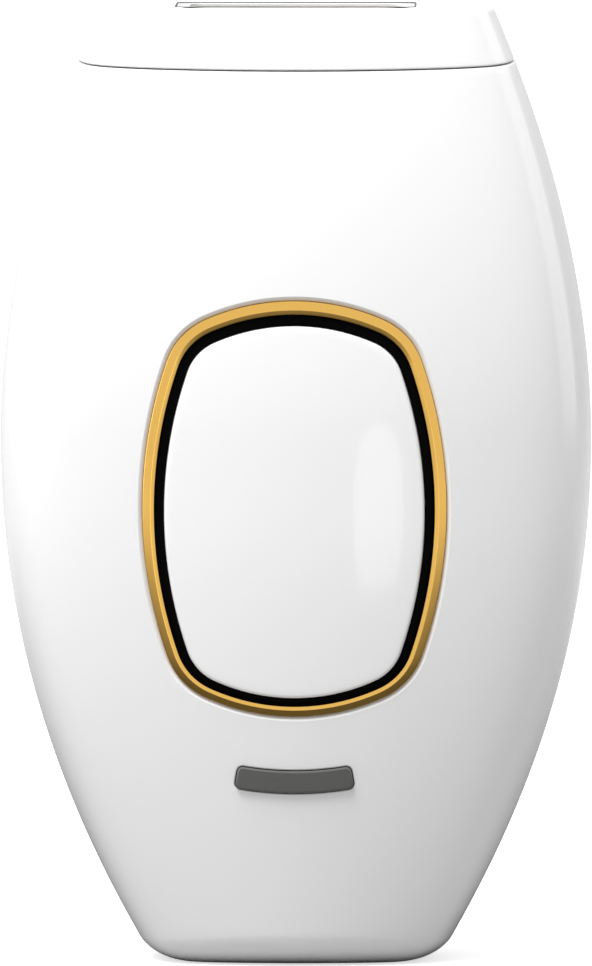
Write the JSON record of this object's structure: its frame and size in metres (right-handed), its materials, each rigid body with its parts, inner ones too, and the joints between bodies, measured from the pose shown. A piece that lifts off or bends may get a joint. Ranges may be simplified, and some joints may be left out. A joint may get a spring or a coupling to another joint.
{
  "type": "ipl hair remover",
  "caption": "Handheld light-pulse hair remover: barrel-shaped white shells, pull-off lamp head with treatment window, oval flash button in a gold ring, curved level button, base inlet.",
  "frame": {"origin": "middle of the flat base, on the plane where the front and rear shells meet", "axes": "+Z from the base up to the treatment window, -Y the front with the buttons, +X to the right of the origin seen with the front facing the viewer"},
  "size_m": [0.087, 0.0436, 0.1405],
  "materials": {
    "shell_white": "moulded ABS, glossy white",
    "button_white": "polished white plastic",
    "gold_trim": "gold anodised, two cut facets",
    "black_gloss": "piano black",
    "bar_grey": "fine satin grey",
    "plug_white": "unpolished moulded plastic",
    "chassis_grey": "unpolished moulded plastic",
    "steel": "zinc-plated",
    "silicone": "translucent silicone",
    "board": "green solder mask",
    "black_plastic": "moulded black",
    "capacitor_sleeve": "heat-shrink sleeve",
    "ferrite": "sintered ferrite",
    "copper_wire": "enamelled copper winding",
    "contact_metal": "gold-flashed contact",
    "tinned": "tinned metal",
    "led_white": "LED package",
    "light_pipe": "clear acrylic",
    "filter_glass": "coated optical filter",
    "quartz": "clear quartz",
    "ceramic": "white ceramic",
    "polished_aluminium": "polished",
    "heatsink_aluminium": "extruded",
    "sensor_lens": "dark infrared window"
  },
  "bodies": {
    "housing": {"front_shell": "shell_white", "rear_shell": "shell_white", "shell_screws": "steel", "screw_plugs": "shell_white", "gold_ring": "gold_trim", "black_ring": "black_gloss", "button_retainer": "plug_white", "retainer_screws": "steel", "button_return_sleeves": "silicone", "flash_switch_body": "black_plastic", "level_switch_body": "black_plastic", "indicator_leds": "led_white", "light_pipes": "light_pipe", "control_board": "board", "control_board_screws": "steel", "board_header": "black_plastic", "main_board": "board", "main_board_screws": "steel", "flash_capacitor": "capacitor_sleeve", "transformer_core": "ferrite", "transformer_winding": "copper_wire", "power_transistor": "black_plastic", "transistor_tab": "tinned", "trigger_coil": "copper_wire", "power_inlet": "black_plastic", "inlet_pin": "contact_metal", "inlet_tabs": "tinned", "fan_frame": "black_plastic", "fan_stator": "copper_wire", "fan_screws": "steel", "head_socket": "plug_white", "socket_contacts": "contact_metal"},
    "lamp_head": {"head_cover_front": "shell_white", "head_cover_rear": "shell_white", "head_chassis": "plug_white", "head_screws": "steel", "head_pins": "contact_metal", "window_frame": "button_white", "filter_glass": "filter_glass", "skin_sensor": "sensor_lens", "reflector": "polished_aluminium", "flash_lamp": "quartz", "lamp_electrodes": "tinned", "lamp_holders": "ceramic", "heat_sink": "heatsink_aluminium"},
    "flash_button": {"flash_button_cap": "button_white"},
    "level_button": {"level_button_cap": "bar_grey"},
    "flash_plunger": {"flash_switch_plunger": "chassis_grey"},
    "level_plunger": {"level_switch_plunger": "chassis_grey"},
    "fan": {"fan_rotor": "black_plastic"}
  },
  "joints": [
    {"name": "flash_button_press", "type": "slide", "parent": "housing", "child": "flash_button", "axis": [0, 1, 0], "range_m": [0, 0.0008], "stiffness_N_per_m": 2000, "springref_m": -0.0004, "deforming": ["button_return_sleeves"]},
    {"name": "level_button_press", "type": "slide", "parent": "housing", "child": "level_button", "axis": [0, 1, 0], "range_m": [0, 0.0005], "stiffness_N_per_m": 2000, "springref_m": -0.0003},
    {"name": "flash_plunger_press", "type": "slide", "parent": "housing", "child": "flash_plunger", "axis": [0, 1, 0], "range_m": [0, 0.0008]},
    {"name": "level_plunger_press", "type": "slide", "parent": "housing", "child": "level_plunger", "axis": [0, 1, 0], "range_m": [0, 0.0005]},
    {"name": "fan_spin", "type": "hinge", "parent": "housing", "child": "fan", "pos_m": [0, 0.01, 0.0974], "axis": [0, 1, 0], "continuous": true},
    {"name": "lamp_head_pull", "type": "slide", "parent": "housing", "child": "lamp_head", "axis": [0, 0, 1], "range_m": [0, 0.026]}
  ],
  "couplings": [
    {"joint": "flash_plunger_press", "follows": "flash_button_press", "ratio": 1},
    {"joint": "level_plunger_press", "follows": "level_button_press", "ratio": 1}
  ]
}
